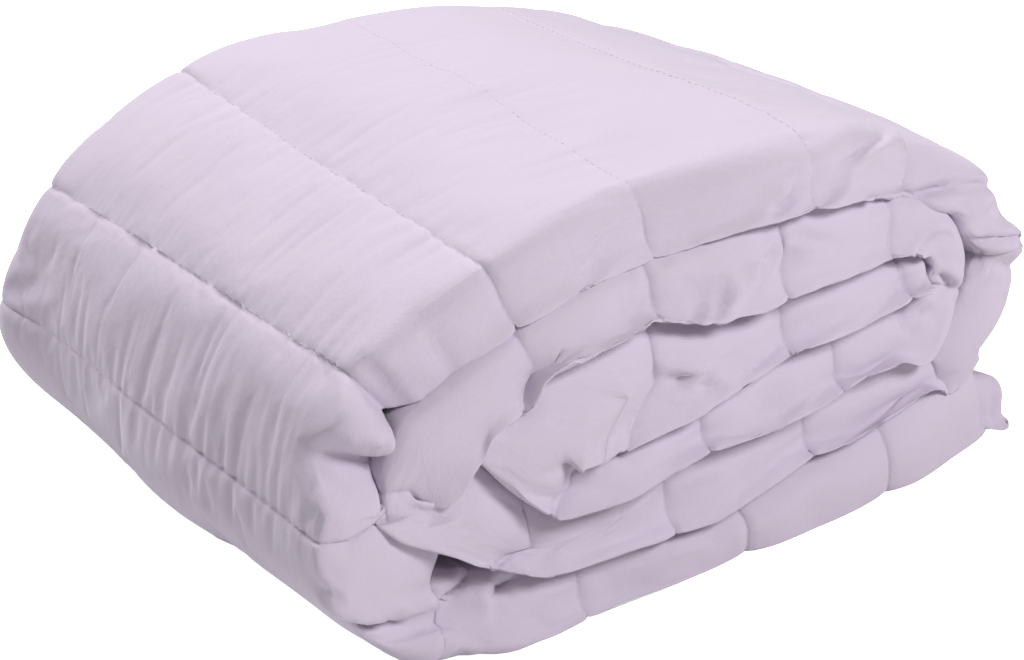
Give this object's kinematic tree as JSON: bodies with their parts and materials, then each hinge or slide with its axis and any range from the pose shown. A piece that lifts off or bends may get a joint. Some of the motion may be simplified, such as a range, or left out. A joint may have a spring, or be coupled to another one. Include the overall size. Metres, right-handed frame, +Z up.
{
  "type": "folded summer duvet",
  "caption": "Channel-quilted summer duvet, folded lengthwise into a padded strip and wound flat into a low roll that rests on its own outer layer.",
  "frame": {"origin": "middle of the bottom of the box round the roll, on the floor that it rests on", "axes": "+X across the roll towards its loose hem, +Y along the roll's axis to its back end, +Z up"},
  "size_m": [0.3402, 0.2854, 0.163],
  "materials": {
    "quilted_cotton": "matte pale lilac cotton sateen"
  },
  "bodies": {
    "root": {"duvet": "quilted_cotton"}
  },
  "joints": []
}
